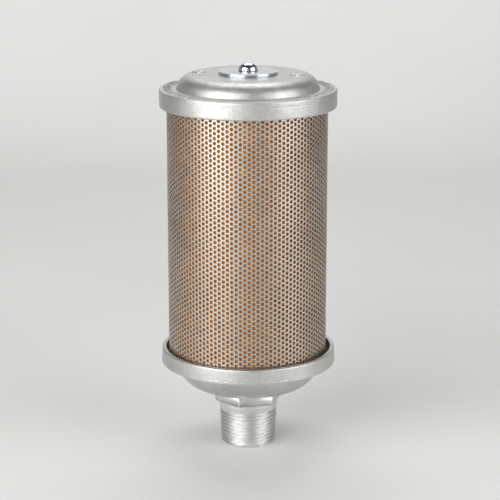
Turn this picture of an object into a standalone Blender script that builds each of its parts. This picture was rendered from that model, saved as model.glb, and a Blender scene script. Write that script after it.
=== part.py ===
"""Pneumatic exhaust muffler: a replaceable felt element in a perforated shell, held between a cast
base with a pipe-thread nipple and a cast cap by one long tie bolt.

Metres, +Z up. The origin is on the axis, at the nipple's end face. Sizes are named in millimetres.
"""
import math

import bmesh
import bpy
from mathutils import Matrix

MM = 0.001
BIG_STEPS = 40      # facets round the large turned pieces
SMALL_STEPS = 24    # facets round the small turned pieces
RIVET_STEPS = 16
GAP = 0.3           # clearance between pieces that touch
MERGE = 0.00001     # merge distance of the Screw modifier, metres
CLEAR = 5.0         # how far a cutter runs past what it cuts

# Driving dimensions, millimetres
BODY_R = 50.8            # outer radius of both castings, 4 in diameter
RIM_R = 48.0             # inner radius of both casting rims
EDGE_R = 1.2             # rounding of the casting edges
RIM_CHAMFER = 0.6        # inner edge of both rims
WALL = 3.0               # casting wall
SHELL_R = 46.1           # perforated shell, outer radius
SHELL_WALL = 0.9
THREAD_R = 16.7          # 1 in pipe thread, crest radius at its large end
THREAD_TAPER = 1 / 32    # radius lost per unit of height, 1 in 16 on diameter
CHAMFER_R = 14.9         # chamfered end of the thread, at the end face
NECK_R = 17.05           # plain neck above the thread
BORE_R = 13.3            # flow passage
HEX_AF = 34.925          # 1 3/8 in wrench flats
HEX_TURN = -15.6         # degrees from the front (-Y) to the nearest corner, negative to the left
ROD_R = 3.175            # 1/4 in tie bolt
ROD_CHAMFER = 0.6
ROD_HOLE_R = 3.6
HEAD_R = 5.6             # button head
NUT_AF = 11.11           # 7/16 in across flats

# Heights, millimetres above the nipple's end face
CHAMFER_TOP_Z = 2.2
THREAD_TOP_Z = 22.5
THREAD_RUN_OUT = 0.8
HEX_BOTTOM_Z = 26.4
BOWL_BOTTOM_Z = 33.3     # underside of the bowl at radius BOWL_START_R
RING_BOTTOM_Z = 50.8
RING_TOP_Z = 59.6
SKIRT_BOTTOM_Z = 201.8
FLANGE_TOP_Z = 212.0
DOME_TOP_Z = 220.2
WASHER_TOP_Z = 222.0
HEAD_TOP_Z = 226.9

# Bowl section of the base
BOWL_START_R = 20.0
BOWL_R = 41.5            # outer radius where the bowl meets the ring
BOWL_BEND = 14.4         # outer bend radius
BOWL_WALL = 3.5
BOWL_SLOPE = math.radians(15)

# Dome section of the cap
DOME_BEND = 9.4
DOME_BEND_AT_R = 31.44
DOME_WALL_ANGLE = math.radians(18.44)   # where the bend ends, above horizontal
DOME_FOOT = [(40.8, FLANGE_TOP_Z + 0.9), (41.3, FLANGE_TOP_Z + 0.25), (42.1, FLANGE_TOP_Z)]
DECK_START_R = 38.4      # where the dome's hollow meets the deck

# Levels inside
LEDGE_Z = RING_BOTTOM_Z + WALL                    # seat in the base ring
DECK_Z = FLANGE_TOP_Z - WALL                      # seat under the cap
GASKET_T = 1.5
SHELL_BOTTOM_Z = LEDGE_Z + GASKET_T + 2 * GAP
SHELL_TOP_Z = DECK_Z - GASKET_T - 2 * GAP
DISC_T = 0.8
DISC_R = 44.7
DISC_BORE_R = 23.3       # opening of the upper disc
MEDIA_BOTTOM_Z = SHELL_BOTTOM_Z + DISC_T + GAP
MEDIA_TOP_Z = SHELL_TOP_Z - DISC_T - GAP
CORE_R = 25.0
CORE_BORE_R = 24.0
FELT_R = 33.5
SCREEN_R = 34.6
MEDIA_R = 44.8
HUB_R = 8.0
HUB_BOTTOM_Z = 34.0
HUB_TOP_Z = 44.0
ARM_BOTTOM_Z = 36.2
ARM_TOP_Z = 41.0
ARM_START_R = 5.0
ARM_LENGTH = 21.0
ARM_WIDTH = 5.0
ARM_TURN = 33.0          # degrees from +X to the first arm
ROD_BOTTOM_Z = 24.0
SEAL_T = 1.8             # depth of the counterbore under the top washer
SEAL_SEAT_R = 8.4        # its radius
SEAL_R = 8.0
BOSS_R = 12.0            # boss under the dome, round the bolt
BOSS_BOTTOM_Z = DOME_TOP_Z - 5.0
RIVET_AT = {"cap_rivet_left": (-28.0, 5.4), "cap_rivet_right": (28.0, -5.4)}
RIVET_RECESS_R = 4.25
RIVET_RECESS_DEPTH = 1.0
RIVET_HOLE_R = 1.6
RIVET_R = 1.2
RIVET_HEAD_R = 1.9
RIVET_HEAD_T = 1.1
RIVET_TAIL_R = 2.0
RIVET_TAIL_T = 0.9
LOCATOR_TOP_Z = DOME_TOP_Z - WALL - GAP           # riveted flange of the locating cup
LOCATOR_FLANGE_R = 31.6
LOCATOR_R = 22.7
LOCATOR_T = 1.0
LOCATOR_REACH = 7.0      # how far the cup reaches into the core tube
COLLAR_R = 23.6          # collar of the lower disc, inside the core tube
COLLAR_T = 1.0
COLLAR_REACH = 5.0
SHELL_GASKET_R = (43.9, 47.6)
ELEMENT_GASKET_R = (38.9, 43.4)
TOP_WASHER_R = 17.1
NUT_WASHER_R = 7.9
NUT_WASHER_T = 1.6
NUT_T = 5.6

for leftover in list(bpy.data.objects):
    bpy.data.objects.remove(leftover, do_unlink=True)

scene = bpy.context.scene
parts = bpy.data.collections.new("pneumatic_muffler")
cutters = bpy.data.collections.new("cutters")
scene.collection.children.link(parts)
scene.collection.children.link(cutters)


# ---------------------------------------------------------------- materials
def material(name, colour, metallic, roughness):
    made = bpy.data.materials.new(name)
    made.use_nodes = True
    shader = made.node_tree.nodes["Principled BSDF"]
    shader.inputs["Base Color"].default_value = (*colour, 1.0)
    shader.inputs["Metallic"].default_value = metallic
    shader.inputs["Roughness"].default_value = roughness
    made.diffuse_color = (*colour, 1.0)
    return made


FINISHES = {
    "cast_aluminium": ((0.62, 0.62, 0.60), 1.0, 0.42),
    "zinc_steel": ((0.66, 0.67, 0.68), 1.0, 0.32),
    "bright_zinc": ((0.75, 0.78, 0.80), 1.0, 0.12),
    "resin_felt": ((0.55, 0.27, 0.12), 0.0, 0.95),
    "white_felt": ((0.80, 0.77, 0.70), 0.0, 0.95),
    "steel_screen": ((0.50, 0.50, 0.50), 1.0, 0.45),
    "fibre_gasket": ((0.16, 0.15, 0.14), 0.0, 0.80),
}


def finish(name, slot):
    colour, metallic, roughness = FINISHES[slot]
    return material(name, colour, metallic, roughness)


# ---------------------------------------------------------------- shape helpers
def arc(centre_r, centre_z, radius, start_deg, end_deg, steps=3):
    """Points of a circular arc in the radius-height plane, angles from +r towards +z."""
    points = []
    for k in range(steps + 1):
        angle = math.radians(start_deg + (end_deg - start_deg) * k / steps)
        points.append((centre_r + radius * math.cos(angle), centre_z + radius * math.sin(angle)))
    return points


def turned(name, outline, slot, steps=BIG_STEPS, closed=True, group=None, at=(0.0, 0.0)):
    """Turn an outline of (radius, height) in millimetres; it runs down its outer side."""
    mesh = bpy.data.meshes.new(name)
    verts = [(r * MM, 0.0, z * MM) for r, z in outline]
    edges = [(k, k + 1) for k in range(len(verts) - 1)]
    if closed:
        edges.append((len(verts) - 1, 0))
    mesh.from_pydata(verts, edges, [])
    made = bpy.data.objects.new(name, mesh)
    made.location = (at[0] * MM, at[1] * MM, 0.0)
    (group or parts).objects.link(made)
    screw = made.modifiers.new("turn", "SCREW")
    screw.axis = "Z"
    screw.angle = math.tau
    screw.steps = steps
    screw.render_steps = steps
    screw.use_merge_vertices = True
    screw.merge_threshold = MERGE
    screw.use_smooth_shade = False
    mesh.materials.append(finish(name, slot))
    return made


def ring(name, inner, outer, bottom, top, slot, steps=BIG_STEPS):
    return turned(name, [(inner, top), (outer, top), (outer, bottom), (inner, bottom)], slot, steps)


def prism(name, sides, radius, bottom, top, turn=0.0, group=None):
    """A solid prism of the given number of sides; radius is to its corners."""
    mesh = bpy.data.meshes.new(name)
    shape = bmesh.new()
    bmesh.ops.create_cone(shape, cap_ends=True, segments=sides, radius1=radius * MM,
                          radius2=radius * MM, depth=(top - bottom) * MM)
    first = min(shape.verts, key=lambda v: abs(math.atan2(v.co.y, v.co.x)))
    level = math.atan2(first.co.y, first.co.x)
    middle = (top + bottom) / 2 * MM
    bmesh.ops.transform(shape, verts=shape.verts,
                        matrix=Matrix.Translation((0, 0, middle)) @ Matrix.Rotation(turn - level, 4, "Z"))
    shape.to_mesh(mesh)
    shape.free()
    made = bpy.data.objects.new(name, mesh)
    (group or cutters).objects.link(made)
    return made


def as_cutter(made):
    made.hide_render = True
    made.display_type = "WIRE"
    return made


def combine(target, tool, operation):
    step = target.modifiers.new(operation.lower() + "_" + tool.name, "BOOLEAN")
    step.operation = operation
    step.solver = "EXACT"
    step.object = as_cutter(tool)


def drill(target, name, radius, bottom, top, at=(0.0, 0.0), steps=SMALL_STEPS):
    hole = prism(name, steps, radius, bottom, top)
    hole.location = (at[0] * MM, at[1] * MM, 0.0)
    combine(target, hole, "DIFFERENCE")


# ---------------------------------------------------------------- base casting
def bowl_bend_height():
    """Height of the centre of the bowl's bend, from its sloping floor."""
    tangent_r = BOWL_R - BOWL_BEND + BOWL_BEND * math.sin(BOWL_SLOPE)
    rise = (tangent_r - BOWL_START_R) * math.tan(BOWL_SLOPE)
    return BOWL_BOTTOM_Z + rise + BOWL_BEND * math.cos(BOWL_SLOPE)


def throat_bridge():
    """Three-armed bridge across the throat, with the hub that the tie bolt passes through."""
    bridge = prism("bridge", SMALL_STEPS, HUB_R, HUB_BOTTOM_Z, HUB_TOP_Z)
    for k in range(3):
        arm = prism(f"arm_{k}", 4, math.sqrt(0.5), ARM_BOTTOM_Z, ARM_TOP_Z, math.pi / 4)
        arm.data.transform(Matrix.Translation((0.5 * MM, 0, 0)))
        arm.data.transform(Matrix.Diagonal((ARM_LENGTH, ARM_WIDTH, 1.0, 1.0)))
        arm.data.transform(Matrix.Translation((ARM_START_R * MM, 0, 0)))
        arm.data.transform(Matrix.Rotation(math.radians(120 * k + ARM_TURN), 4, "Z"))
        combine(bridge, arm, "UNION")
    drill(bridge, "hub_hole", ROD_HOLE_R, HUB_BOTTOM_Z - CLEAR, HUB_TOP_Z + CLEAR)
    return bridge


def base_casting():
    bend_r = BOWL_R - BOWL_BEND
    bend_z = bowl_bend_height()
    slope = math.degrees(BOWL_SLOPE)
    inner_bend = BOWL_BEND - BOWL_WALL
    floor_r = bend_r + inner_bend * math.sin(BOWL_SLOPE)
    floor_z = bend_z - inner_bend * math.cos(BOWL_SLOPE)
    core_r = BORE_R - 1.0      # solid core that the bore cutter removes
    throat_z = floor_z - (floor_r - core_r) * math.tan(BOWL_SLOPE)
    neck_top_z = BOWL_BOTTOM_Z - (BOWL_START_R - NECK_R) * math.tan(BOWL_SLOPE)
    outline = [(core_r, throat_z)]
    outline += arc(bend_r, bend_z, inner_bend, -90 + slope, 0, 4)
    outline += [(BOWL_R - BOWL_WALL, LEDGE_Z), (RIM_R, LEDGE_Z), (RIM_R, RING_TOP_Z - RIM_CHAMFER)]
    outline += [(RIM_R + RIM_CHAMFER, RING_TOP_Z)]
    outline += arc(BODY_R - EDGE_R, RING_TOP_Z - EDGE_R, EDGE_R, 90, 0)
    outline += arc(BODY_R - EDGE_R, RING_BOTTOM_Z + EDGE_R, EDGE_R, 0, -90)
    outline += [(BOWL_R, RING_BOTTOM_Z)]
    outline += arc(bend_r, bend_z, BOWL_BEND, 0, -90 + slope, 4)
    outline += [(NECK_R, neck_top_z), (NECK_R, HEX_BOTTOM_Z), (core_r, HEX_BOTTOM_Z)]
    base = turned("base_casting", outline, "cast_aluminium")

    corner = math.radians(-90 + HEX_TURN)
    hexagon = prism("hexagon", 6, HEX_AF / math.sqrt(3), HEX_BOTTOM_Z, BOWL_BOTTOM_Z + 1.2, corner)
    combine(base, hexagon, "UNION")
    drill(base, "flow_bore", BORE_R, HEX_BOTTOM_Z - CLEAR, throat_z + CLEAR, steps=BIG_STEPS)

    bridge = throat_bridge()
    combine(base, bridge, "UNION")
    return base


def pipe_nipple():
    """Threaded end of the base casting, parted from it under the hexagon; a smooth taper at crest radius."""
    top = HEX_BOTTOM_Z - GAP
    thread_end_r = THREAD_R - THREAD_TAPER * THREAD_TOP_Z
    outline = [(BORE_R, top), (NECK_R, top), (NECK_R, THREAD_TOP_Z + THREAD_RUN_OUT), (THREAD_R, THREAD_TOP_Z)]
    outline += [(thread_end_r, CHAMFER_TOP_Z), (CHAMFER_R, 0.0), (BORE_R, 0.0)]
    turned("pipe_nipple", outline, "cast_aluminium")


# ---------------------------------------------------------------- cap casting
def top_cap():
    bend_z = DOME_TOP_Z - DOME_BEND
    wall = math.degrees(DOME_WALL_ANGLE)
    inner_bend = DOME_BEND - WALL
    seal_z = DOME_TOP_Z - SEAL_T
    outline = [(ROD_HOLE_R, seal_z), (SEAL_SEAT_R, seal_z), (SEAL_SEAT_R, DOME_TOP_Z)]
    outline += arc(DOME_BEND_AT_R, bend_z, DOME_BEND, 90, wall, 4)
    outline += DOME_FOOT
    outline += arc(BODY_R - EDGE_R, FLANGE_TOP_Z - EDGE_R, EDGE_R, 90, 0)
    outline += arc(BODY_R - EDGE_R, SKIRT_BOTTOM_Z + EDGE_R, EDGE_R, 0, -90)
    outline += [(RIM_R + RIM_CHAMFER, SKIRT_BOTTOM_Z), (RIM_R, SKIRT_BOTTOM_Z + RIM_CHAMFER), (RIM_R, DECK_Z)]
    outline += [(DECK_START_R, DECK_Z)]
    outline += arc(DOME_BEND_AT_R, bend_z, inner_bend, wall, 90, 3)
    outline += [(BOSS_R, DOME_TOP_Z - WALL), (BOSS_R, BOSS_BOTTOM_Z), (ROD_HOLE_R, BOSS_BOTTOM_Z)]
    cap = turned("top_cap", outline, "cast_aluminium")
    for name, at in RIVET_AT.items():
        drill(cap, name + "_recess", RIVET_RECESS_R, DOME_TOP_Z - RIVET_RECESS_DEPTH, DOME_TOP_Z + CLEAR, at)
        drill(cap, name + "_hole", RIVET_HOLE_R, DOME_TOP_Z - WALL - CLEAR, DOME_TOP_Z + CLEAR, at, RIVET_STEPS)
    return cap


def cap_rivets():
    """Round-head rivets that hold the locating cup under the cap."""
    seat_z = DOME_TOP_Z - RIVET_RECESS_DEPTH + GAP
    tail_z = LOCATOR_TOP_Z - LOCATOR_T - GAP
    for name, at in RIVET_AT.items():
        outline = [(0.0, seat_z + RIVET_HEAD_T), (RIVET_HEAD_R / 2, seat_z + 0.87 * RIVET_HEAD_T)]
        outline += [(RIVET_HEAD_R, seat_z), (RIVET_R, seat_z), (RIVET_R, tail_z), (RIVET_TAIL_R, tail_z)]
        outline += [(RIVET_TAIL_R, tail_z - RIVET_TAIL_T), (0.0, tail_z - RIVET_TAIL_T)]
        turned(name, outline, "bright_zinc", RIVET_STEPS, closed=False, at=at)


def cap_locator():
    """Top-hat pressing under the cap: it centres the core tube and closes its upper end."""
    top = LOCATOR_TOP_Z
    flange_z = top - LOCATOR_T
    floor_z = MEDIA_TOP_Z - LOCATOR_REACH
    inner_r = LOCATOR_R - LOCATOR_T
    outline = [(inner_r, top), (LOCATOR_FLANGE_R, top), (LOCATOR_FLANGE_R, flange_z), (LOCATOR_R, flange_z)]
    outline += [(LOCATOR_R, floor_z), (ROD_HOLE_R, floor_z)]
    outline += [(ROD_HOLE_R, floor_z + LOCATOR_T), (inner_r, floor_z + LOCATOR_T)]
    cup = turned("cap_locator", outline, "zinc_steel")
    for name, at in RIVET_AT.items():
        drill(cup, name + "_clearance", RIVET_HOLE_R, flange_z - CLEAR, top + CLEAR, at, RIVET_STEPS)


# ---------------------------------------------------------------- shell and element
def shell():
    ring("perforated_shell", SHELL_R - SHELL_WALL, SHELL_R, SHELL_BOTTOM_Z, SHELL_TOP_Z, "zinc_steel")


def element():
    collar_top = MEDIA_BOTTOM_Z + COLLAR_REACH
    disc_top = SHELL_BOTTOM_Z + DISC_T
    inner_r = COLLAR_R - COLLAR_T
    outline = [(inner_r, collar_top), (COLLAR_R, collar_top), (COLLAR_R, disc_top)]
    outline += [(DISC_R, disc_top), (DISC_R, SHELL_BOTTOM_Z), (inner_r, SHELL_BOTTOM_Z)]
    turned("element_bottom_disc", outline, "zinc_steel")
    ring("element_top_disc", DISC_BORE_R, DISC_R, SHELL_TOP_Z - DISC_T, SHELL_TOP_Z, "zinc_steel")
    sleeves = [("core_tube", CORE_BORE_R, CORE_R, "zinc_steel"),
               ("inner_felt", CORE_R + GAP, FELT_R, "white_felt"),
               ("support_screen", FELT_R + GAP, SCREEN_R, "steel_screen"),
               ("outer_media", SCREEN_R + GAP, MEDIA_R, "resin_felt")]
    for name, inner, outer, slot in sleeves:
        ring(name, inner, outer, MEDIA_BOTTOM_Z, MEDIA_TOP_Z, slot)


def gaskets():
    lower = LEDGE_Z + GAP
    upper = DECK_Z - GAP - GASKET_T
    for name, radii, bottom in [("base_seat_gasket", SHELL_GASKET_R, lower),
                                ("element_bottom_gasket", ELEMENT_GASKET_R, lower),
                                ("cap_seat_gasket", SHELL_GASKET_R, upper),
                                ("element_top_gasket", ELEMENT_GASKET_R, upper)]:
        ring(name, *radii, bottom, bottom + GASKET_T, "fibre_gasket")


# ---------------------------------------------------------------- tie bolt and its hardware
def tie_bolt():
    seat = WASHER_TOP_Z + GAP
    height = HEAD_TOP_Z - seat
    side = 1.0       # short straight side of the button head
    outline = []
    for k in range(5):
        angle = math.radians(90 * (1 - k / 5))
        outline.append((HEAD_R * math.cos(angle), seat + side + (height - side) * math.sin(angle)))
    outline[0] = (0.0, HEAD_TOP_Z)
    outline += [(HEAD_R, seat + side), (HEAD_R - 0.4, seat), (ROD_R, seat)]
    outline += [(ROD_R, ROD_BOTTOM_Z + ROD_CHAMFER), (ROD_R - ROD_CHAMFER, ROD_BOTTOM_Z), (0.0, ROD_BOTTOM_Z)]
    turned("tie_bolt", outline, "bright_zinc", SMALL_STEPS, closed=False)


def washers_and_nut():
    ring("top_washer", ROD_HOLE_R, TOP_WASHER_R, DOME_TOP_Z + GAP, WASHER_TOP_Z, "bright_zinc")
    ring("seal_washer", ROD_HOLE_R, SEAL_R, DOME_TOP_Z - SEAL_T + GAP, DOME_TOP_Z, "fibre_gasket", SMALL_STEPS)
    washer_top = HUB_BOTTOM_Z - GAP
    washer_bottom = washer_top - NUT_WASHER_T
    nut_top = washer_bottom - GAP
    nut_bottom = nut_top - NUT_T
    ring("nut_washer", ROD_HOLE_R, NUT_WASHER_R, washer_bottom, washer_top, "zinc_steel", SMALL_STEPS)
    nut = prism("lock_nut", 6, NUT_AF / math.sqrt(3), nut_bottom, nut_top, group=parts)
    nut.data.materials.append(finish("lock_nut", "zinc_steel"))
    drill(nut, "nut_bore", ROD_HOLE_R, nut_bottom - CLEAR, nut_top + CLEAR)


base_casting()
pipe_nipple()
top_cap()
cap_rivets()
cap_locator()
shell()
element()
gaskets()
tie_bolt()
washers_and_nut()
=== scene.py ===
import math
import random

import bmesh
import bpy
import numpy as np
from mathutils import Matrix, Vector, noise

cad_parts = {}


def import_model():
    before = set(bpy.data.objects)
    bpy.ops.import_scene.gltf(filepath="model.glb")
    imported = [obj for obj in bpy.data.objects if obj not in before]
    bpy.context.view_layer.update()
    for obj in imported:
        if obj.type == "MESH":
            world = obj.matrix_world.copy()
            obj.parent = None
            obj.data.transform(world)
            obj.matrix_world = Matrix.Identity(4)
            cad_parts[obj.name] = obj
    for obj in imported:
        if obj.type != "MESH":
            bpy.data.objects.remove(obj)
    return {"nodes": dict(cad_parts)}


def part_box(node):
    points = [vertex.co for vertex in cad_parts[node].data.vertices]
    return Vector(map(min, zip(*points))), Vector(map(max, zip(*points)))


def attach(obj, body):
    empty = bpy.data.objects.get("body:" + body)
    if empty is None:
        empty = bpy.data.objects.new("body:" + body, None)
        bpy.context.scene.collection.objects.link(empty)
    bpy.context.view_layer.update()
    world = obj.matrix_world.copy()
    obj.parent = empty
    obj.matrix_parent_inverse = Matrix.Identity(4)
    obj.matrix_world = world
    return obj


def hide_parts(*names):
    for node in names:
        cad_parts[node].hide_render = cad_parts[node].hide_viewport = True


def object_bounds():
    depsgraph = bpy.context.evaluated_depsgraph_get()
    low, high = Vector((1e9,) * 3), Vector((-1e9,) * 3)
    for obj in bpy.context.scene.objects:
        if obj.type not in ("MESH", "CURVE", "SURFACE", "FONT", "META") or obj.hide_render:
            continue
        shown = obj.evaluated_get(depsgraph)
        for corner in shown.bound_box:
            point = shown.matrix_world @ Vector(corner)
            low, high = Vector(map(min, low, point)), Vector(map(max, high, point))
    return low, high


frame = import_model()
cad_low, cad_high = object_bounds()

MM = 0.001
ROUND_STEPS = 192        # facets round the large turned pieces
FINE_ROUND_STEPS = 360   # and round the castings, whose parting lines are broken
SMALL_ROUND_STEPS = 64

# ---------------------------------------------------------------- sizes, mostly from the frame
base_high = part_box("base_casting")[1]
cap_low, cap_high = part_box("top_cap")
shell_low, shell_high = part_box("perforated_shell")
washer_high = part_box("top_washer")[1]
bolt_low, bolt_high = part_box("tie_bolt")

BODY_R = base_high.x
RING_TOP = base_high.z
SKIRT_BOTTOM = cap_low.z
DOME_TOP = cap_high.z
SHELL_R = shell_high.x

# both castings
WALL = 3.0 * MM
RIM_R = BODY_R - 2.8 * MM             # inside of both rims
RIM_EDGE = 0.5 * MM                   # rounding of the rims' inner edges
EDGE = 0.9 * MM                       # rounding of the other casting edges
CAST_WAVE = 0.05 * MM                 # waviness of a cast surface
CAST_FACET = 1.2 * MM                 # longest step along a casting's outline
PARTING_STEP = 0.2 * MM               # steps along the outline across a parting line
PARTING_REACH = 0.75 * MM
PARTING_WIDTH = 0.22 * MM

# base casting
RING_BOTTOM = RING_TOP - 8.8 * MM
RING_DRAFT = 0.35 * MM                # the ring leans in by this much up to its top
LEDGE = RING_BOTTOM + WALL
BASE_PARTING = RING_BOTTOM + 1.0 * MM
BASE_FLASH = 0.22 * MM                # flash standing out along the parting line
BOWL_BOTTOM = 33.3 * MM               # underside of the bowl where its radius is BOWL_START_R
BOWL_START_R = 20.0 * MM
BOWL_R = 41.5 * MM
BOWL_BEND = 14.4 * MM
BOWL_WALL = 3.5 * MM
BOWL_SLOPE = math.radians(15)
THROAT_R = 17.2 * MM                  # outside of the casting inside the hexagon
BORE_R = 13.3 * MM

# wrench hexagon
HEX_FLAT_R = 34.925 / 2 * MM
HEX_CORNER_R = HEX_FLAT_R * 2 / math.sqrt(3)
HEX_BOTTOM = 26.4 * MM
HEX_CORNER_TOP = 32.3 * MM
HEX_TURN = math.radians(-90 - 15.6)   # direction of the nearest corner
HEX_INNER_R = 15.0 * MM
HEX_OVERLAP = 1.0 * MM                # how far the nipple and the casting run up into the hexagon

# pipe thread
THREAD_CREST_R = 16.95 * MM
THREAD_DEPTH = 0.95 * MM
THREAD_PITCH = 25.4 / 11.5 * MM
THREAD_TAPER = 1 / 32
THREAD_TOP = 22.5 * MM
THREAD_RUN_OUT = 1.2 * MM
THREAD_ROWS = 150
THREAD_FACETS = 240
CHAMFER_R = 15.0 * MM                 # outside of the nipple's end chamfer at z = 0
CHAMFER_SLOPE = 0.85
NECK_R = 17.05 * MM

# bridge across the throat
HUB_R = 8.0 * MM
HUB_BOTTOM, HUB_TOP = 34.0 * MM, 44.0 * MM
ARM_BOTTOM, ARM_TOP = 36.2 * MM, 41.0 * MM
ARM_START_R = 5.0 * MM
ARM_LENGTH = 21.0 * MM
ARM_WIDTH = 5.0 * MM
ARM_TURN = 33                         # degrees

# cap casting
FLANGE_TOP = SKIRT_BOTTOM + 10.2 * MM
DECK = FLANGE_TOP - WALL
DECK_R = 38.4 * MM
CAP_PARTING = FLANGE_TOP - 3.1 * MM
CAP_SEAM = -0.16 * MM                 # on the cap the parting line is a groove
DOME_FOOT_R = 41.1 * MM
DOME_BEND = 9.4 * MM
DOME_BEND_AT_R = 31.44 * MM
DOME_WALL_ANGLE = math.radians(18.44)
COUNTERBORE_R = 8.4 * MM
COUNTERBORE_DEPTH = 1.8 * MM
BOSS_R = 12.0 * MM
BOSS_DEPTH = 5.0 * MM
RIVET_R = 1.9 * MM
RIVET_CROWN = 0.9 * MM
RIVET_SHANK_R = 1.2 * MM
RIVET_TAIL_R = 2.0 * MM
RIVET_RECESS_R = 4.25 * MM
RIVET_RECESS_DEPTH = 1.0 * MM
GRAIN_ARCS = ((-118.0, -36.0), (42.0, 118.0))   # degrees from the front, positive to the right
GRAIN_BAND = (44.3, 48.6)             # radii in millimetres
GRAIN_SIZE = (0.30, 0.55)
GRAIN_SIDES = 8

# perforated shell and element
SHELL_WALL = 0.9 * MM
SHELL_SHIFT = Vector((-0.5, -0.4, 0.0)) * MM   # the loose shell and element sit a little off the axis
HOLE_COLUMNS = 118
HOLE_ROWS = 52
HOLE_PITCH = 2.80 * MM                # from hole to hole up a column
HOLE_R = 1.10 * MM
HOLE_SIDES = 12
SHELL_SECTORS = 4                     # the sheet is made in sectors to keep each mesh light
MEDIA_BORE_R = 34.9 * MM
DISC_SHEET = 0.8 * MM
DISC_COLLAR_R = 23.6 * MM
SHELL_GASKET_BORE_R = 43.9 * MM
ELEMENT_GASKET_BORE_R = 38.9 * MM

# tie bolt and lock nut
ROD_R = 3.175 * MM
ROD_HOLE_R = 3.6 * MM
ROD_PITCH = 25.4 / 20 * MM
ROD_THREAD_LENGTH = 16.0 * MM
ROD_THREAD_DEPTH = 0.55 * MM
ROD_THREAD_ROWS = 64
HEAD_R = 5.6 * MM
HEAD_CROWN = 4.3 * MM
NUT_FLAT_R = 11.11 / 2 * MM
NUT_CORNER_R = 11.11 / math.sqrt(3) * MM
NUT_CHAMFER = 0.45 * MM

# studio: angles in degrees from the front and up, the rest in metres and watts
PAPER_FRONT, PAPER_BACK = -2.2, 1.1
PAPER_BEND = 0.35
PAPER_TOP = 2.6
PAPER_HALF = 0.65
SOFTBOXES = (   # name, azimuth, elevation, distance, width, height, power
    ("softbox_left", -43, 20, 1.5, 1.55, 1.6, 28),
    ("softbox_right", 60, 20, 1.5, 1.2, 1.4, 14.5),
    ("top_back", 180, 67, 1.6, 1.3, 0.8, 9.5),
)
SKY = ((0.0, 0.34), (0.35, 0.26), (0.75, 0.05))   # height, grey
CAMERA_AT = (1.06 * MM, -1009.7 * MM, 376.7 * MM)
CAMERA_DOWN = 14.438
CAMERA_LENS = 128.9


# ---------------------------------------------------------------- material helpers
class Nodes:
    """A small builder for one material's node tree."""

    def __init__(self, name):
        self.material = bpy.data.materials.new(name)
        self.material.use_nodes = True
        self.tree = self.material.node_tree
        self.shader = self.tree.nodes["Principled BSDF"]
        coordinates = self.tree.nodes.new("ShaderNodeTexCoord")
        self.place = coordinates.outputs["Object"]

    def add(self, kind, **settings):
        node = self.tree.nodes.new(kind)
        for key, value in settings.items():
            setattr(node, key, value)
        return node

    def link(self, source, target):
        self.tree.links.new(source, target)

    def set(self, **values):
        """Constant values go straight on the shader's sockets."""
        for key, value in values.items():
            self.shader.inputs[key.replace("_", " ")].default_value = value

    def stretched(self, scale):
        mapping = self.add("ShaderNodeMapping")
        mapping.inputs["Scale"].default_value = scale
        self.link(self.place, mapping.inputs["Vector"])
        return mapping.outputs["Vector"]

    def noise(self, scale, detail=4.0, rough=0.55, stretch=None):
        made = self.add("ShaderNodeTexNoise")
        made.inputs["Scale"].default_value = scale
        made.inputs["Detail"].default_value = detail
        made.inputs["Roughness"].default_value = rough
        self.link(self.stretched(stretch) if stretch else self.place, made.inputs["Vector"])
        return made.outputs["Fac"]

    def cells(self, scale, stretch=None):
        made = self.add("ShaderNodeTexVoronoi")
        made.inputs["Scale"].default_value = scale
        self.link(self.stretched(stretch) if stretch else self.place, made.inputs["Vector"])
        return made.outputs["Distance"]

    def ramp(self, factor, *stops):
        """Stops are (position, colour) or (position, value)."""
        made = self.add("ShaderNodeValToRGB")
        elements = made.color_ramp.elements
        while len(elements) < len(stops):
            elements.new(0.5)
        for element, (position, colour) in zip(elements, stops):
            element.position = position
            grey = (colour, colour, colour) if isinstance(colour, float) else colour
            element.color = (*grey, 1.0)
        self.link(factor, made.inputs["Fac"])
        return made.outputs["Color"]

    def mix(self, factor, first, second, blend="MIX"):
        made = self.add("ShaderNodeMix", data_type="RGBA", blend_type=blend)
        if isinstance(factor, float):
            made.inputs["Factor"].default_value = factor
        else:
            self.link(factor, made.inputs["Factor"])
        for value, socket in ((first, made.inputs["A"]), (second, made.inputs["B"])):
            if isinstance(value, tuple):
                socket.default_value = (*value, 1.0)
            else:
                self.link(value, socket)
        return made.outputs["Result"]

    def bump(self, height, distance, strength=1.0, below=None):
        made = self.add("ShaderNodeBump")
        made.inputs["Distance"].default_value = distance
        made.inputs["Strength"].default_value = strength
        self.link(height, made.inputs["Height"])
        if below is not None:
            self.link(below, made.inputs["Normal"])
        return made.outputs["Normal"]

    def finish(self, colour, roughness=None, normal=None):
        self.link(colour, self.shader.inputs["Base Color"])
        if roughness is not None:
            self.link(roughness, self.shader.inputs["Roughness"])
        if normal is not None:
            self.link(normal, self.shader.inputs["Normal"])
        return self.material


# ---------------------------------------------------------------- materials
def cast_aluminium(name="cast_aluminium", tone=1.0):
    """Tumbled die casting: satin, fine-grained, a little mottled, with scattered pits."""
    n = Nodes(name)
    n.set(Metallic=1.0)
    # tone scales the whole colour down; below 1 it makes a painted-shade copy of the casting
    dark = (0.52 * tone, 0.52 * tone, 0.495 * tone)
    light = (0.62 * tone, 0.62 * tone, 0.60 * tone)
    mottle = n.ramp(n.noise(60, 5), (0.30, dark), (0.70, light))
    grain = n.noise(1100, 3, 0.7)
    speck = n.ramp(grain, (0.34, 0.80), (0.52, 1.0))
    colour = n.mix(1.0, mottle, speck, "MULTIPLY")
    roughness = n.ramp(n.noise(300, 3), (0.3, 0.40), (0.7, 0.50))
    lumps = n.bump(n.noise(420, 2, 0.5), 0.12 * MM, 0.6)
    normal = n.bump(grain, 0.07 * MM, 0.9, lumps)
    return n.finish(colour, roughness, normal)


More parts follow.
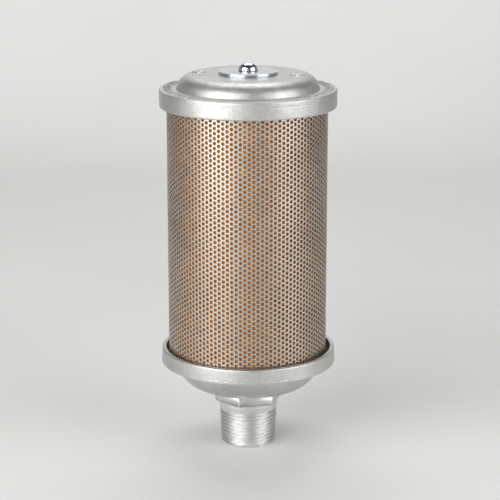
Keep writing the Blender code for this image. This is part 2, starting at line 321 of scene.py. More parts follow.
def machined_aluminium():
    n = Nodes("machined_aluminium")
    n.set(Metallic=1.0)
    tooling = n.noise(40, 3, 0.6, (1.0, 1.0, 40.0))
    colour = n.ramp(tooling, (0.3, (0.63, 0.63, 0.62)), (0.7, (0.75, 0.75, 0.74)))
    roughness = n.ramp(n.noise(250, 3), (0.3, 0.36), (0.7, 0.46))
    return n.finish(colour, roughness, n.bump(tooling, 0.01 * MM, 0.25))


def smooth_metal(name, cloud, dark, light, smudge, roughest, grain):
    """Metal of a cloudy colour, with smudged roughness and a fine grain.

    cloud and smudge are (scale, detail), roughest is the two ends of the roughness and
    grain is (scale, depth, strength).
    """
    n = Nodes(name)
    n.set(Metallic=1.0)
    colour = n.ramp(n.noise(*cloud), (0.3, dark), (0.7, light))
    roughness = n.ramp(n.noise(*smudge), (0.3, roughest[0]), (0.7, roughest[1]))
    scale, depth, strength = grain
    return n.finish(colour, roughness, n.bump(n.noise(scale, 2), depth, strength))


def zinc_with_painted_bounce():
    """Zinc-plated perforated sheet, slightly dulled; its grey is tinted warm as painted bounce light from the
    orange felt.
    """
    return smooth_metal("zinc_with_painted_bounce", (35, 4), (0.50, 0.47, 0.42), (0.60, 0.57, 0.52),
                        (180, 4), (0.34, 0.44), (900, 0.02 * MM, 0.5))


def bright_zinc():
    return smooth_metal("bright_zinc", (90, 3), (0.60, 0.67, 0.74), (0.72, 0.77, 0.81),
                        (260, 3), (0.09, 0.15), (700, 0.008 * MM, 0.4))


def satin_zinc():
    return smooth_metal("satin_zinc", (110, 4), (0.60, 0.62, 0.64), (0.70, 0.72, 0.73),
                        (260, 3), (0.24, 0.34), (900, 0.02 * MM, 0.5))


def steel_hardware():
    return smooth_metal("steel_hardware", (120, 3), (0.52, 0.52, 0.51), (0.64, 0.64, 0.62),
                        (260, 3), (0.28, 0.40), (800, 0.02 * MM, 0.5))


def resin_felt():
    """Resin-bonded fibre, orange-brown, mottled and matt."""
    n = Nodes("resin_felt")
    n.set(Metallic=0.0, Roughness=0.92, Specular_IOR_Level=0.25)
    fibre = n.noise(700, 5, 0.7, (1.0, 1.0, 0.45))
    patch = n.ramp(n.noise(180, 3), (0.3, (0.50, 0.20, 0.06)), (0.7, (0.72, 0.34, 0.12)))
    shade = n.ramp(fibre, (0.25, 0.55), (0.60, 1.0))
    return n.finish(n.mix(1.0, patch, shade, "MULTIPLY"), None, n.bump(fibre, 0.25 * MM, 0.9))


def white_felt():
    n = Nodes("white_felt")
    n.set(Metallic=0.0, Roughness=0.95, Specular_IOR_Level=0.2)
    fibre = n.noise(650, 5, 0.7)
    colour = n.ramp(fibre, (0.25, (0.55, 0.52, 0.46)), (0.65, (0.82, 0.79, 0.72)))
    return n.finish(colour, None, n.bump(fibre, 0.25 * MM, 0.9))


def wire_screen():
    n = Nodes("wire_screen")
    n.set(Metallic=1.0, Roughness=0.42)
    weave = n.cells(1100)
    colour = n.ramp(weave, (0.15, (0.16, 0.16, 0.16)), (0.45, (0.58, 0.58, 0.57)))
    return n.finish(colour, None, n.bump(weave, 0.15 * MM, 0.8))


def fibre_gasket():
    n = Nodes("fibre_gasket")
    n.set(Metallic=0.0, Roughness=0.85, Specular_IOR_Level=0.3)
    fibre = n.noise(900, 5, 0.7)
    colour = n.ramp(fibre, (0.3, (0.055, 0.052, 0.050)), (0.7, (0.12, 0.115, 0.11)))
    return n.finish(colour, None, n.bump(fibre, 0.08 * MM, 0.8))


# ---------------------------------------------------------------- outlines
def arc(centre_r, centre_z, radius, start_deg, end_deg, steps=10):
    """Points of an outline along an arc; angles are up from the outward direction."""
    angles = np.radians(np.linspace(start_deg, end_deg, steps + 1))
    return [(centre_r + radius * math.cos(a), centre_z + radius * math.sin(a)) for a in angles]


def filleted(corners, closed=True, steps=5):
    """Round the corners of an outline; a corner is (r, z) or (r, z, fillet radius)."""
    points = []
    count = len(corners)
    for k, corner in enumerate(corners):
        here = Vector(corner[:2])
        radius = corner[2] if len(corner) > 2 else 0.0
        if radius == 0.0 or (not closed and k in (0, count - 1)):
            points.append(tuple(here))
            continue
        before = Vector(corners[k - 1][:2]) - here
        after = Vector(corners[(k + 1) % count][:2]) - here
        half = before.angle(after) / 2
        reach = min(radius / math.tan(half), before.length * 0.49, after.length * 0.49)
        start = here + before.normalized() * reach
        end = here + after.normalized() * reach
        for j in range(steps + 1):
            t = j / steps
            points.append(tuple(start.lerp(here, t).lerp(here.lerp(end, t), t)))
    return points


def subdivided(outline, longest, closed=True):
    """Add points so that no stretch of the outline is longer than that."""
    points = []
    ends = outline[1:] + outline[:1] if closed else outline[1:]
    for (r0, z0), (r1, z1) in zip(outline, ends):
        parts = max(1, math.ceil(math.hypot(r1 - r0, z1 - z0) / longest))
        points += [(r0 + (r1 - r0) * k / parts, z0 + (z1 - z0) * k / parts) for k in range(parts)]
    if not closed:
        points.append(outline[-1])
    return points


# ---------------------------------------------------------------- meshes
def piece_from(name, verts, faces, material, smooth=35.0):
    """Make an object; edges sharper than smooth, in degrees, stay sharp."""
    mesh = bpy.data.meshes.new(name)
    mesh.from_pydata(verts, [], faces)
    mesh.validate()
    shape = bmesh.new()
    shape.from_mesh(mesh)
    bmesh.ops.recalc_face_normals(shape, faces=shape.faces)
    shape.to_mesh(mesh)
    shape.free()
    mesh.materials.append(material)
    mesh.shade_smooth()
    mesh.set_sharp_from_angle(angle=math.radians(smooth))
    made = bpy.data.objects.new(name, mesh)
    bpy.context.scene.collection.objects.link(made)
    return made


def turned(name, outline, material, steps=ROUND_STEPS, closed=True, at=(0.0, 0.0), shape=None, smooth=35.0):
    """Turn an outline about the axis; shape(angle, r, z) may return a changed (r, z)."""
    verts = []
    faces = []
    rows = []
    for r, z in outline:
        if r < 1e-7:
            rows.append([len(verts)] * steps)
            verts.append((at[0], at[1], z))
            continue
        rows.append(list(range(len(verts), len(verts) + steps)))
        for k in range(steps):
            angle = math.tau * k / steps
            rr, zz = shape(angle, r, z) if shape else (r, z)
            verts.append((at[0] + rr * math.cos(angle), at[1] + rr * math.sin(angle), zz))
    spans = len(rows) if closed else len(rows) - 1
    for row in range(spans):
        low, high = rows[row], rows[(row + 1) % len(rows)]
        for k in range(steps):
            j = (k + 1) % steps
            corners = [low[k], low[j], high[j], high[k]]
            face = list(dict.fromkeys(corners))
            if len(face) > 2:
                faces.append(face)
    return piece_from(name, verts, faces, material, smooth)


def cast_skin(amount):
    """A shape function that gives a casting its slight waviness."""
    def shape(angle, r, z):
        place = Vector((r * math.cos(angle), r * math.sin(angle), z))
        wave = noise.noise(place * 90) + 0.5 * noise.noise(place * 260)
        return r + amount * wave, z + amount * 0.5 * noise.noise(place * 130 + Vector((3, 5, 7)))
    return shape


def boolean(piece, tool, operation):
    """Cut or join a piece with a tool, which is used up."""
    step = piece.modifiers.new(operation.lower(), "BOOLEAN")
    step.operation = operation
    step.solver = "EXACT"
    step.object = tool
    view = bpy.context.evaluated_depsgraph_get()
    mesh = bpy.data.meshes.new_from_object(piece.evaluated_get(view))
    piece.modifiers.clear()
    piece.data = mesh
    bpy.data.objects.remove(tool)


def prism_mesh(name, sides, radius, bottom, top, turn, material):
    """An upright prism about the axis; its first corner is in the direction turn."""
    verts = []
    for z in (bottom, top):
        for k in range(sides):
            angle = turn + math.tau * k / sides
            verts.append((radius * math.cos(angle), radius * math.sin(angle), z))
    faces = [[k, (k + 1) % sides, sides + (k + 1) % sides, sides + k] for k in range(sides)]
    faces.append(list(range(sides - 1, -1, -1)))
    faces.append(list(range(sides, 2 * sides)))
    return piece_from(name, verts, faces, material)


# ---------------------------------------------------------------- base casting
def base_outline():
    slope = math.degrees(BOWL_SLOPE)
    rise = math.tan(BOWL_SLOPE)
    bend_r = BOWL_R - BOWL_BEND
    tangent_r = bend_r + BOWL_BEND * math.sin(BOWL_SLOPE)
    bend_z = BOWL_BOTTOM + (tangent_r - BOWL_START_R) * rise + BOWL_BEND * math.cos(BOWL_SLOPE)
    inner_bend = BOWL_BEND - BOWL_WALL
    floor_z = bend_z - inner_bend * math.cos(BOWL_SLOPE)
    floor_r = bend_r + inner_bend * math.sin(BOWL_SLOPE)
    throat_z = floor_z - (floor_r - BORE_R) * rise
    neck_z = BOWL_BOTTOM - (BOWL_START_R - THROAT_R) * rise
    neck_bottom = HEX_BOTTOM + HEX_OVERLAP

    inside = [(BORE_R, throat_z)] + arc(bend_r, bend_z, inner_bend, -90 + slope, 0)
    rim = filleted([(BOWL_R - BOWL_WALL, LEDGE), (RIM_R, LEDGE), (RIM_R, RING_TOP, RIM_EDGE),
                    (BODY_R - RING_DRAFT, RING_TOP, EDGE), (BODY_R, BASE_PARTING + 0.8 * MM)], closed=False)
    rim += across_parting(BASE_PARTING)
    rim += filleted([(BODY_R, BASE_PARTING - 0.7 * MM), (BODY_R, RING_BOTTOM, 0.3 * MM),
                     (BOWL_R + 0.6 * MM, RING_BOTTOM, 0.6 * MM), (BOWL_R, bend_z)], closed=False)
    bowl = arc(bend_r, bend_z, BOWL_BEND, 0, -90 + slope, 14)[1:]
    neck = [(THROAT_R, neck_z), (THROAT_R, neck_bottom), (BORE_R, neck_bottom)]
    return subdivided(inside + rim + bowl + neck, CAST_FACET)


def across_parting(parting):
    """Close-set points of an outline where it crosses the mould's parting line."""
    return [(BODY_R, parting + PARTING_STEP * k) for k in (3, 2, 1, 0, -1, -2, -3)]


def parted_skin(parting, rise):
    """Casting waviness, and a broken line of flash where the mould parted."""
    skin = cast_skin(CAST_WAVE)

    def shape(angle, r, z):
        if r > BODY_R - 0.1 * MM and abs(z - parting) < PARTING_REACH:
            round_place = Vector((math.cos(angle), math.sin(angle), 0.0))
            middle = parting + 0.25 * MM * noise.noise(round_place * 9)
            patchy = 0.5 + 1.6 * noise.noise(round_place * 30 + Vector((2, 9, 4)))
            broken = max(0.0, min(1.0, patchy))
            r += rise * broken * math.exp(-((z - middle) / PARTING_WIDTH) ** 2)
        return skin(angle, r, z)
    return shape


def base_piece(material):
    return turned("cast_base", base_outline(), material, FINE_ROUND_STEPS,
                  shape=parted_skin(BASE_PARTING, BASE_FLASH))


def hexagon_piece(material):
    """Wrench hexagon; its corners are turned down at the top and bottom."""
    top = BOWL_BOTTOM + 1.4 * MM
    piece = prism_mesh("wrench_hexagon", 6, HEX_CORNER_R, HEX_BOTTOM, top, HEX_TURN, material)
    side_r = HEX_CORNER_R - 0.05 * MM
    outline = [(HEX_INNER_R, HEX_BOTTOM - 1 * MM), (HEX_CORNER_R - 0.6 * MM, HEX_BOTTOM - 0.2 * MM),
               (side_r, HEX_BOTTOM + 0.7 * MM), (side_r, HEX_CORNER_TOP),
               (HEX_CORNER_R - 1.8 * MM, HEX_CORNER_TOP + 1.0 * MM),
               (HEX_CORNER_R - 1.9 * MM, top + 1 * MM), (HEX_INNER_R, top + 1 * MM)]
    boolean(piece, turned("hexagon_turning", outline, material, 96), "INTERSECT")
    return piece


def bridge_piece(material):
    """Cast hub and three arms across the throat, which the tie bolt passes through."""
    outline = filleted([(ROD_HOLE_R, HUB_TOP), (HUB_R, HUB_TOP, 1.0 * MM),
                        (HUB_R, HUB_BOTTOM, 0.8 * MM), (ROD_HOLE_R, HUB_BOTTOM)])
    hub = turned("throat_bridge", outline, material, SMALL_ROUND_STEPS)
    for k in range(3):
        angle = math.radians(120 * k + ARM_TURN)
        arm = prism_mesh("arm", 4, math.sqrt(0.5), ARM_BOTTOM, ARM_TOP, math.pi / 4, material)
        for vert in arm.data.vertices:   # the prism is a unit square until it is stretched here
            along = ARM_START_R + (vert.co.x + 0.5) * ARM_LENGTH
            across = vert.co.y * ARM_WIDTH
            vert.co.x = along * math.cos(angle) - across * math.sin(angle)
            vert.co.y = along * math.sin(angle) + across * math.cos(angle)
        boolean(hub, arm, "UNION")
    return hub


def thread_radius(angle, r, z):
    """Helical pipe thread on the outside of the nipple, cut back by the end chamfer."""
    if r < 15.4 * MM or z > THREAD_TOP + 0.3 * MM:
        return r, z
    crest = THREAD_CREST_R - THREAD_TAPER * (THREAD_TOP - z)
    phase = (z / THREAD_PITCH - angle / math.tau) % 1.0
    groove = min(1.0, max(0.0, 1.25 - 2.7 * abs(phase - 0.5)))
    run_out = min(1.0, max(0.0, (THREAD_TOP - 0.6 * MM - z) / THREAD_RUN_OUT))
    cut = crest - THREAD_DEPTH * groove * run_out
    return min(cut, CHAMFER_R + z * CHAMFER_SLOPE), z


def nipple_piece(material):
    top = HEX_BOTTOM + HEX_OVERLAP
    start = THREAD_TOP + 0.2 * MM
    outline = [(BORE_R, top), (NECK_R, top), (NECK_R, start + 0.5 * MM)]
    outline += [(THREAD_CREST_R, start * (1 - k / THREAD_ROWS)) for k in range(THREAD_ROWS + 1)]
    outline += [(CHAMFER_R - 0.3 * MM, 0.0), (BORE_R + 0.5 * MM, 0.0), (BORE_R, 0.5 * MM)]
    return turned("threaded_nipple", subdivided(outline, 4 * MM), material, THREAD_FACETS,
                  shape=thread_radius, smooth=50.0)


# ---------------------------------------------------------------- cap casting
def cap_outline():
    bend_z = DOME_TOP - DOME_BEND
    wall = math.degrees(DOME_WALL_ANGLE)
    seat = DOME_TOP - COUNTERBORE_DEPTH
    boss_bottom = DOME_TOP - BOSS_DEPTH

    top = [(ROD_HOLE_R, seat), (COUNTERBORE_R, seat), (COUNTERBORE_R, DOME_TOP)]
    dome = arc(DOME_BEND_AT_R, bend_z, DOME_BEND, 90, wall, 16)
    flange = filleted([(DOME_FOOT_R - 0.35 * MM, FLANGE_TOP + 0.9 * MM),
                       (DOME_FOOT_R, FLANGE_TOP - 0.05 * MM, 0.5 * MM),
                       (DOME_FOOT_R + 1.9 * MM, FLANGE_TOP, 0.3 * MM), (BODY_R, FLANGE_TOP, EDGE),
                       (BODY_R, CAP_PARTING + 0.8 * MM)], closed=False)
    flange += across_parting(CAP_PARTING)
    flange += filleted([(BODY_R, CAP_PARTING - 0.8 * MM), (BODY_R, SKIRT_BOTTOM, EDGE),
                        (RIM_R, SKIRT_BOTTOM, RIM_EDGE), (RIM_R, DECK), (DECK_R, DECK)], closed=False)
    inside = arc(DOME_BEND_AT_R, bend_z, DOME_BEND - WALL, wall, 90, 8)
    boss = [(BOSS_R, DOME_TOP - WALL), (BOSS_R, boss_bottom), (ROD_HOLE_R, boss_bottom)]
    return subdivided(top + dome + flange + inside + boss, CAST_FACET)


def rivet_places():
    """Axis of each cap rivet, from its CAD node."""
    places = {}
    for node in ("cap_rivet_left", "cap_rivet_right"):
        low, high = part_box(node)
        places[node] = ((low.x + high.x) / 2, (low.y + high.y) / 2)
    return places


def cap_piece(material):
    cap = turned("cast_cap", cap_outline(), material, FINE_ROUND_STEPS,
                 shape=parted_skin(CAP_PARTING, CAP_SEAM))
    above = DOME_TOP + 2 * MM
    seat = DOME_TOP - RIVET_RECESS_DEPTH
    outline = [(0.0, above), (RIVET_RECESS_R + 0.3 * MM, above), (RIVET_RECESS_R, seat), (0.0, seat)]
    for at in rivet_places().values():
        boolean(cap, turned("recess", outline, material, 40, closed=False, at=at), "DIFFERENCE")
    cap.data.set_sharp_from_angle(angle=math.radians(35))
    return cap


def stipple_piece(material):
    """Two arcs of small raised grains cast on the flange, in place of lettering."""
    picker = random.Random(7)
    levels = ((1.0, FLANGE_TOP - 0.3 * MM), (1.0, FLANGE_TOP + 0.15 * MM), (0.5, FLANGE_TOP + 0.5 * MM))
    sides = GRAIN_SIDES
    verts = []
    faces = []
    taken = []
    for first, last in GRAIN_ARCS:
        for _ in range(3000):
            angle = math.radians(picker.uniform(first, last) - 90.0)
            r = picker.uniform(*GRAIN_BAND) * MM
            size = picker.uniform(*GRAIN_SIZE) * MM
            x, y = r * math.cos(angle), r * math.sin(angle)
            if any((x - a) ** 2 + (y - b) ** 2 < (size + c + 0.15 * MM) ** 2 for a, b, c in taken):
                continue
            taken.append((x, y, size))
            start = len(verts)
            for reach, z in levels:
                for k in range(sides):
                    turn = math.tau * k / sides
                    verts.append((x + reach * size * math.cos(turn), y + reach * size * math.sin(turn), z))
            for level in (0, 1):
                for k in range(sides):
                    j = (k + 1) % sides
                    low, high = start + sides * level, start + sides * (level + 1)
                    faces.append([low + k, low + j, high + j, high + k])
            faces.append([start + k for k in range(sides - 1, -1, -1)])
            faces.append([start + 2 * sides + k for k in range(sides)])
    return piece_from("cast_stipple", verts, faces, material, 30.0)


def rivet_pieces(material):
    made = []
    seat = DOME_TOP - RIVET_RECESS_DEPTH
    crown_z = seat + 0.35 * MM
    for node, at in rivet_places().items():
        low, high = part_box(node)
        tail_top = low.z + 0.9 * MM
        outline = [(0.0, crown_z + RIVET_CROWN)]
        outline += arc(RIVET_R - RIVET_CROWN, crown_z, RIVET_CROWN, 88, 0, 6)
        outline += [(RIVET_R, seat), (RIVET_SHANK_R, seat), (RIVET_SHANK_R, tail_top),
                    (RIVET_TAIL_R, tail_top), (RIVET_TAIL_R, low.z), (0.0, low.z)]
        made.append(turned(node + "_head", outline, material, 40, closed=False, at=at))
    return made


# ---------------------------------------------------------------- perforated shell
def perforated_sector(name, first, count, material):
    """Part of the rolled sheet: columns of round holes, every other column half a pitch higher."""
    radii = (SHELL_R, SHELL_R - SHELL_WALL)
    height = shell_high.z - shell_low.z
    margin = (height - (HOLE_ROWS + 0.5) * HOLE_PITCH) / 2
    quarter = HOLE_PITCH / 4
    levels = 4 * HOLE_ROWS + 2
    column = math.tau / HOLE_COLUMNS
    first_angle = -math.pi / 2
    verts = []
    faces = []
    known = {}

    def vert(key, angle, z, layer):
        """A vertex that neighbouring faces share."""
        index = known.get((key, layer))
        if index is None:
            index = len(verts)
            known[(key, layer)] = index
            verts.append((radii[layer] * math.cos(angle), radii[layer] * math.sin(angle), z))
        return index

    def level_z(level):
        """Level -1 and levels + 1 are the plain edges of the sheet."""
        if level < 0:
            return shell_low.z
        if level > levels:
            return shell_high.z
        return shell_low.z + margin + level * quarter

    def grid(line, level, layer):
        """On the border between two columns."""
        return vert(("g", line, level), first_angle + line * column, level_z(level), layer)

    def middle(line, level, layer):
        """On the middle line of a column."""
        return vert(("m", line, level), first_angle + (line + 0.5) * column, level_z(level), layer)

    def face(corners, layer):
        faces.append(corners if layer == 0 else corners[::-1])

    for line in range(first, first + count):
        offset = 2 * (line % 2)
        centre_angle = first_angle + (line + 0.5) * column
        plain = [(0, 1), (1, 2)] if offset else [(levels - 2, levels - 1), (levels - 1, levels)]
        plain += [(-1, 0), (levels, levels + 1)]
        for layer in (0, 1):
            for low, high in plain:
                face([grid(line, low, layer), middle(line, low, layer),
                      middle(line, high, layer), grid(line, high, layer)], layer)
                face([middle(line, low, layer), grid(line + 1, low, layer),
                      grid(line + 1, high, layer), middle(line, high, layer)], layer)
        for row in range(HOLE_ROWS):
            bottom = offset + 4 * row
            centre_z = level_z(bottom + 2)
            rings = []
            for layer in (0, 1):
                border = [middle(line, bottom, layer), grid(line + 1, bottom, layer)]
                border += [grid(line + 1, bottom + k, layer) for k in (1, 2, 3, 4)]
                border += [middle(line, bottom + 4, layer)]
                border += [grid(line, bottom + k, layer) for k in (4, 3, 2, 1, 0)]
                ring = []
                for k in range(HOLE_SIDES):
                    turn = math.tau * k / HOLE_SIDES - math.pi / 2
                    angle = centre_angle + HOLE_R * math.cos(turn) / SHELL_R
                    ring.append(len(verts))
                    verts.append((radii[layer] * math.cos(angle), radii[layer] * math.sin(angle),
                                  centre_z + HOLE_R * math.sin(turn)))
                rings.append(ring)
                for k in range(HOLE_SIDES):
                    j = (k + 1) % HOLE_SIDES
                    face([border[k], border[j], ring[j], ring[k]], layer)
            outer, inner = rings
            for k in range(HOLE_SIDES):
                j = (k + 1) % HOLE_SIDES
                faces.append([outer[k], outer[j], inner[j], inner[k]])
        for level in (-1, levels + 1):
            edge = [[grid(line, level, n), middle(line, level, n), grid(line + 1, level, n)] for n in (0, 1)]
            for k in (0, 1):
                faces.append([edge[0][k], edge[0][k + 1], edge[1][k + 1], edge[1][k]])
    for line in (first, first + count):
        for level in range(-1, levels + 1):
            faces.append([grid(line, level, 0), grid(line, level + 1, 0),
                          grid(line, level + 1, 1), grid(line, level, 1)])
    return piece_from(name, verts, faces, material, 40.0)


def shell_pieces(material):
    made = []
    first = 0
    for k in range(SHELL_SECTORS):
        last = HOLE_COLUMNS * (k + 1) // SHELL_SECTORS
        made.append(perforated_sector(f"perforated_sheet_{k + 1}", first, last - first, material))
        first = last
    return made


# ---------------------------------------------------------------- element and gaskets
def ring_piece(name, node, inner_r, material, bevel, longest=None, shape=None):
    """A plain ring that fills its CAD node's box out from its bore."""
    low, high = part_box(node)
    outline = filleted([(inner_r, high.z, bevel), (high.x, high.z, bevel),
                        (high.x, low.z, bevel), (inner_r, low.z, bevel)], steps=2)
    if longest:
        outline = subdivided(outline, longest)
    return turned(name, outline, material, shape=shape)


def felt_skin(angle, r, z):
    """A shape function that makes felt a little uneven."""
    place = Vector((r * math.cos(angle), r * math.sin(angle), z))
    return r + 0.12 * MM * noise.noise(place * 420), z


def bottom_disc_piece(material):
    low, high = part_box("element_bottom_disc")
    bore_r = DISC_COLLAR_R - DISC_SHEET
    floor_top = low.z + DISC_SHEET
    edge = 0.2 * MM
    corners = [(bore_r, high.z, edge), (DISC_COLLAR_R, high.z, edge), (DISC_COLLAR_R, floor_top, 0.6 * MM),
               (high.x, floor_top, edge), (high.x, low.z, edge), (bore_r, low.z, 1.2 * MM)]
    return turned("element_lower_disc", filleted(corners), material)


# ---------------------------------------------------------------- tie bolt and hardware
def bolt_piece(material):
    """Button-head tie bolt; the lower end carries a coarse thread."""
    seat = washer_high.z
    crown_z = bolt_high.z - HEAD_CROWN
    side = crown_z - seat
    thread_top = bolt_low.z + ROD_THREAD_LENGTH
    outline = [(0.0, bolt_high.z)]
    for k in range(1, 13):
        turn = math.radians(90 * k / 12)
        outline.append((HEAD_R * math.sin(turn), crown_z + HEAD_CROWN * math.cos(turn)))
    outline += [(HEAD_R, seat + 0.7 * side), (HEAD_R - 0.08 * MM, seat + 0.4 * side),
                (HEAD_R - 0.25 * MM, seat + 0.15 * side), (HEAD_R - 0.5 * MM, seat)]
    outline += [(ROD_R, seat)]
    outline += [(ROD_R, thread_top - ROD_THREAD_LENGTH * k / ROD_THREAD_ROWS) for k in range(ROD_THREAD_ROWS)]
    outline += [(ROD_R - 0.7 * MM, bolt_low.z), (0.0, bolt_low.z)]

    def rod_thread(angle, r, z):
        if z > thread_top - 0.1 * MM or abs(r - ROD_R) > 0.1 * MM:
            return r, z
        phase = (z / ROD_PITCH - angle / math.tau) % 1.0
        return r - ROD_THREAD_DEPTH * max(0.0, 1.0 - 2.2 * abs(phase - 0.5)), z

    return turned("button_head_bolt", outline, material, SMALL_ROUND_STEPS, closed=False, shape=rod_thread,
                  smooth=50.0)


def top_washer_piece(material, edge_material):
    """Satin on its faces and brighter round its edge."""
    edge_r = washer_high.x
    corners = [(ROD_HOLE_R, washer_high.z), (edge_r, washer_high.z, 0.3 * MM),
               (edge_r, DOME_TOP, 0.25 * MM), (ROD_HOLE_R, DOME_TOP)]
    washer = turned("plated_washer", filleted(corners), material, 128)
    washer.data.materials.append(edge_material)
    for face in washer.data.polygons:
        if face.center.xy.length > edge_r - 0.35 * MM:
            face.material_index = 1
    return washer


def lock_nut_piece(material):
    low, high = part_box("lock_nut")
    piece = prism_mesh("hex_lock_nut", 6, NUT_CORNER_R, low.z, high.z, 0.0, material)
    face_r = NUT_FLAT_R - MM
    outline = [(ROD_HOLE_R, high.z + MM), (face_r, high.z + MM), (NUT_FLAT_R, high.z),
               (NUT_CORNER_R, high.z - NUT_CHAMFER), (NUT_CORNER_R, low.z + NUT_CHAMFER),
               (NUT_FLAT_R, low.z), (face_r, low.z - MM), (ROD_HOLE_R, low.z - MM)]
    boolean(piece, turned("nut_turning", outline, material, SMALL_ROUND_STEPS), "INTERSECT")
    return piece


# ---------------------------------------------------------------- building the object
def show(piece, body, slot, *nodes):
    """Hand a piece over: the body it rides on, its material slot, which is not used, and the CAD nodes it
    replaces.
    """
    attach(piece, body)
    if nodes:
        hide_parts(*nodes)


def shift(piece):
    piece.data.transform(Matrix.Translation(SHELL_SHIFT))
    return piece


def build_castings(cast, machined, bright):
    show(base_piece(cast), "base", "cast_aluminium", "base_casting")
    show(hexagon_piece(machined), "base", "cast_aluminium")
    show(bridge_piece(cast), "base", "cast_aluminium")
    show(nipple_piece(machined), "base", "cast_aluminium", "pipe_nipple")

    show(cap_piece(cast), "cap", "cast_aluminium", "top_cap")
    # the grains get a darker copy of the casting (tone 0.74): painted shade among the raised grains, in place
    # of the lettering's shadows
    show(stipple_piece(cast_aluminium("cast_aluminium_painted_shade", 0.74)), "cap", "cast_aluminium")
    for rivet, node in zip(rivet_pieces(bright), rivet_places()):
        show(rivet, "cap", "bright_zinc", node)


def build_shell_and_element(sheet):
    sectors = [shift(sector) for sector in shell_pieces(sheet)]
    show(sectors[0], "shell", "zinc_steel", "perforated_shell")
    for sector in sectors[1:]:
        show(sector, "shell", "zinc_steel")

    media = ring_piece("resin_felt_sleeve", "outer_media", MEDIA_BORE_R, resin_felt(), 0.4 * MM,
                       longest=1.2 * MM, shape=felt_skin)
    show(shift(media), "element", "resin_felt", "outer_media")
    show(shift(bottom_disc_piece(sheet)), "element", "zinc_steel", "element_bottom_disc")
    for name, node, bore, material, slot in (
            ("element_upper_disc", "element_top_disc", 23.3, sheet, "zinc_steel"),
            ("core_sleeve", "core_tube", 24.0, sheet, "zinc_steel"),
            ("soft_felt_sleeve", "inner_felt", 25.3, white_felt(), "white_felt"),
            ("woven_wire_sleeve", "support_screen", 33.8, wire_screen(), "steel_screen")):
        show(shift(ring_piece(name, node, bore * MM, material, 0.2 * MM)), "element", slot, node)


def build_gaskets(gasket):
    for name, node, bore_r, body in (
            ("lower_shell_gasket", "base_seat_gasket", SHELL_GASKET_BORE_R, "base"),
            ("lower_element_gasket", "element_bottom_gasket", ELEMENT_GASKET_BORE_R, "base"),
            ("upper_shell_gasket", "cap_seat_gasket", SHELL_GASKET_BORE_R, "cap"),
            ("upper_element_gasket", "element_top_gasket", ELEMENT_GASKET_BORE_R, "cap")):
        show(ring_piece(name, node, bore_r, gasket, 0.2 * MM), body, "fibre_gasket", node)


def build():
    sheet = zinc_with_painted_bounce()
    bright = bright_zinc()
    hardware = steel_hardware()
    gasket = fibre_gasket()

    build_castings(cast_aluminium(), machined_aluminium(), bright)
    build_shell_and_element(sheet)
    build_gaskets(gasket)
    show(bolt_piece(bright), "bolt", "bright_zinc", "tie_bolt")
    show(top_washer_piece(satin_zinc(), bright), "bolt", "bright_zinc", "top_washer")
    show(lock_nut_piece(hardware), "nut", "zinc_steel", "lock_nut")

    for node, material in (("cap_locator", sheet), ("seal_washer", gasket), ("nut_washer", hardware)):
        materials = frame["nodes"][node].data.materials
        materials.clear()
        materials.append(material)


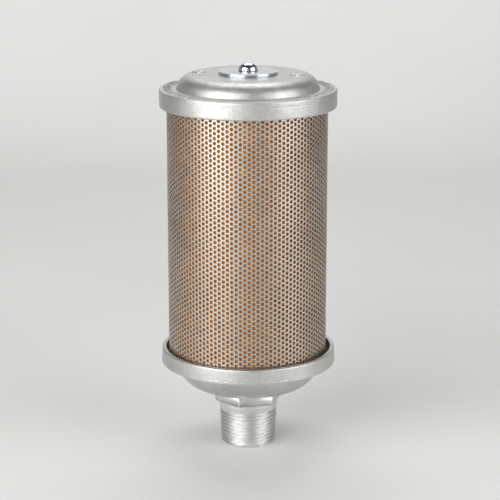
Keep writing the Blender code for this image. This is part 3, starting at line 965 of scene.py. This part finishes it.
# ---------------------------------------------------------------- floor, lights and camera
def backdrop():
    """A pale sweep: floor, bend and wall in one sheet."""
    section = [(PAPER_FRONT, 0.0), (PAPER_BACK - PAPER_BEND, 0.0)]
    for k in range(1, 13):
        turn = math.radians(90 * k / 12)
        section.append((PAPER_BACK - PAPER_BEND + PAPER_BEND * math.sin(turn),
                        PAPER_BEND - PAPER_BEND * math.cos(turn)))
    section.append((PAPER_BACK, PAPER_TOP))
    verts = [(side, y, z) for y, z in section for side in (-PAPER_HALF, PAPER_HALF)]
    faces = [[2 * k, 2 * k + 1, 2 * k + 3, 2 * k + 2] for k in range(len(section) - 1)]
    n = Nodes("paper_sweep")
    n.set(Roughness=0.9, Specular_IOR_Level=0.1)
    split = n.add("ShaderNodeSeparateXYZ")
    n.link(n.place, split.inputs["Vector"])
    tone = n.ramp(n.noise(3, 2), (0.3, (0.715, 0.715, 0.705)), (0.7, (0.745, 0.745, 0.735)))
    # painted shade: the paper's colour is made about 2% darker towards the back, a painted light falloff
    painted_light_falloff = n.ramp(split.outputs["Y"], (0.0, 0.99), (0.7, 0.97))
    paper = n.finish(n.mix(1.0, tone, painted_light_falloff, "MULTIPLY"))
    piece_from("paper_sweep", verts, faces, paper, 60.0)


def softbox(name, azimuth, elevation, distance, width, height, power):
    data = bpy.data.lights.new(name, "AREA")
    data.shape = "RECTANGLE"
    data.size = width
    data.size_y = height
    data.energy = power
    lamp = bpy.data.objects.new(name, data)
    bpy.context.scene.collection.objects.link(lamp)
    aim = Vector((0.0, 0.0, (cad_low.z + cad_high.z) / 2))
    a, e = math.radians(azimuth), math.radians(elevation)
    outward = Vector((math.sin(a) * math.cos(e), -math.cos(a) * math.cos(e), math.sin(e)))
    lamp.location = aim + distance * outward
    lamp.rotation_euler = (aim - lamp.location).to_track_quat("-Z", "Y").to_euler()


def world():
    """Grey surroundings, darker towards the zenith."""
    made = bpy.data.worlds.new("studio")
    bpy.context.scene.world = made
    made.use_nodes = True
    tree = made.node_tree
    background = tree.nodes["Background"]
    coordinates = tree.nodes.new("ShaderNodeTexCoord")
    split = tree.nodes.new("ShaderNodeSeparateXYZ")
    ramp = tree.nodes.new("ShaderNodeValToRGB")
    tree.links.new(coordinates.outputs["Generated"], split.inputs["Vector"])
    tree.links.new(split.outputs["Z"], ramp.inputs["Fac"])
    tree.links.new(ramp.outputs["Color"], background.inputs["Color"])
    ramp.color_ramp.elements.new(0.5)
    for element, (position, grey) in zip(ramp.color_ramp.elements, SKY):
        element.position = position
        element.color = (grey, grey, grey, 1.0)
    background.inputs["Strength"].default_value = 1.0


def camera():
    data = bpy.data.cameras.new("camera")
    data.sensor_width = 36.0
    data.lens = CAMERA_LENS
    data.clip_start = 0.05
    data.clip_end = 20.0
    made = bpy.data.objects.new("camera", data)
    bpy.context.scene.collection.objects.link(made)
    made.location = CAMERA_AT
    made.rotation_euler = (math.radians(90 - CAMERA_DOWN), 0.0, 0.0)
    bpy.context.scene.camera = made


build()
backdrop()
for settings in SOFTBOXES:
    softbox(*settings)
world()
camera()
bpy.context.scene.view_settings.view_transform = "Standard"
